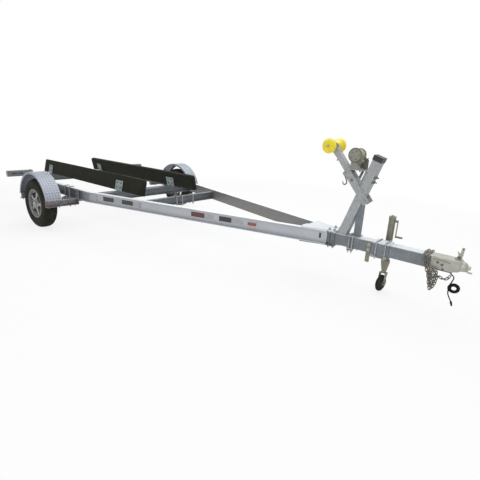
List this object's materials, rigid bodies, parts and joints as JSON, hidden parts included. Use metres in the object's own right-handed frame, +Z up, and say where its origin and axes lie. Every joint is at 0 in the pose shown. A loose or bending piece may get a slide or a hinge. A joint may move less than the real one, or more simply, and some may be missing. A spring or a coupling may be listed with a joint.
{
  "type": "boat trailer",
  "caption": "Single-axle boat trailer with carpeted bunks, tread-plate fenders, a leaning winch stand with bow rollers and a swing-up wheel jack.",
  "frame": {"origin": "on the ground, under the middle of the trailer's length and width", "axes": "+X forward to the coupler, +Y to the left, +Z up"},
  "size_m": [6, 2.446, 1.309],
  "materials": {
    "aluminium_plate": "mill finish, rolled tread pattern on the fenders",
    "galvanized_steel": "dull spangled zinc coat",
    "zinc_plate": "bright zinc plate, lightly weathered",
    "alloy_wheel": "painted silver, machined edges",
    "tyre_rubber": "matt black with tread and sidewall rings",
    "black_rubber": "matt black",
    "black_plastic": "moulded, slightly faded",
    "bunk_carpet": "napped marine carpet",
    "yellow_roller": "cast urethane, slightly clear",
    "winch_webbing": "woven flat webbing",
    "red_lens": "ribbed lens"
  },
  "bodies": {
    "frame": {"rail_left": "aluminium_plate", "rail_right": "aluminium_plate", "fender_left": "aluminium_plate", "fender_right": "aluminium_plate", "axle": "galvanized_steel", "crossmember_front": "galvanized_steel", "crossmember_middle": "galvanized_steel", "crossmember_rear": "galvanized_steel", "tongue": "galvanized_steel", "junction_clamp": "galvanized_steel", "light_arm_left": "galvanized_steel", "light_arm_right": "galvanized_steel", "winch_post": "galvanized_steel", "winch_brace": "galvanized_steel", "winch_shelf": "galvanized_steel", "bow_arm_fork": "galvanized_steel", "bow_arm_tube": "galvanized_steel", "jack_mount": "galvanized_steel", "winch_frame": "zinc_plate", "hanger_bar": "zinc_plate", "coupler": "zinc_plate", "coupler_latch": "zinc_plate", "safety_chain_left": "zinc_plate", "safety_chain_right": "zinc_plate", "lead_grommet": "black_rubber", "lead_cord": "black_rubber", "lead_coil": "black_rubber", "lead_tail": "black_rubber", "lead_plug": "black_rubber", "post_cap": "black_plastic", "bunk_left": "bunk_carpet", "bunk_right": "bunk_carpet", "tail_lamp_left": "red_lens", "tail_lamp_right": "red_lens"},
    "wheel_left": {"tyre_left": "tyre_rubber", "rim_left": "alloy_wheel", "hub_left": "galvanized_steel"},
    "wheel_right": {"tyre_right": "tyre_rubber", "rim_right": "alloy_wheel", "hub_right": "galvanized_steel"},
    "bow_roller": {"bow_roller_left": "yellow_roller", "bow_roller_right": "yellow_roller"},
    "winch_drum": {"winch_drum": "zinc_plate", "winch_strap": "winch_webbing"},
    "winch_crank": {"winch_crank": "zinc_plate"},
    "jack_tube": {"jack_tube": "zinc_plate", "jack_crank": "zinc_plate"},
    "jack_ram": {"jack_ram": "zinc_plate"},
    "jack_caster": {"jack_yoke": "zinc_plate"},
    "jack_wheel": {"jack_wheel": "black_rubber"}
  },
  "joints": [
    {"name": "wheel_left_spin", "type": "hinge", "parent": "frame", "child": "wheel_left", "pos_m": [-1.6, 1.13, 0.305], "axis": [0, 1, 0], "continuous": true},
    {"name": "wheel_right_spin", "type": "hinge", "parent": "frame", "child": "wheel_right", "pos_m": [-1.6, -1.13, 0.305], "axis": [0, 1, 0], "continuous": true},
    {"name": "bow_roller_spin", "type": "hinge", "parent": "frame", "child": "bow_roller", "pos_m": [1.76266, 0, 1.24497], "axis": [0, 1, 0], "continuous": true},
    {"name": "winch_crank_turn", "type": "hinge", "parent": "frame", "child": "winch_crank", "pos_m": [2.04043, 0, 1.12241], "axis": [0, 1, 0], "continuous": true},
    {"name": "winch_drum_turn", "type": "hinge", "parent": "frame", "child": "winch_drum", "pos_m": [1.99043, 0, 1.18641], "axis": [0, 1, 0], "continuous": true},
    {"name": "jack_swing", "type": "hinge", "parent": "frame", "child": "jack_tube", "pos_m": [2.305, 0.0771, 0.44], "axis": [0, -1, 0], "range_deg": [0, 90]},
    {"name": "jack_extend", "type": "slide", "parent": "jack_tube", "child": "jack_ram", "axis": [0, 0, -1], "range_m": [0, 0.25]},
    {"name": "caster_swivel", "type": "hinge", "parent": "jack_ram", "child": "jack_caster", "pos_m": [2.305, 0.172, 0.17], "axis": [0, 0, 1], "continuous": true},
    {"name": "caster_wheel_spin", "type": "hinge", "parent": "jack_caster", "child": "jack_wheel", "pos_m": [2.30118, 0.15033, 0.075], "axis": [-0.9848, 0.1736, 0], "continuous": true}
  ],
  "couplings": [
    {"joint": "winch_drum_turn", "follows": "winch_crank_turn", "ratio": -0.341}
  ]
}
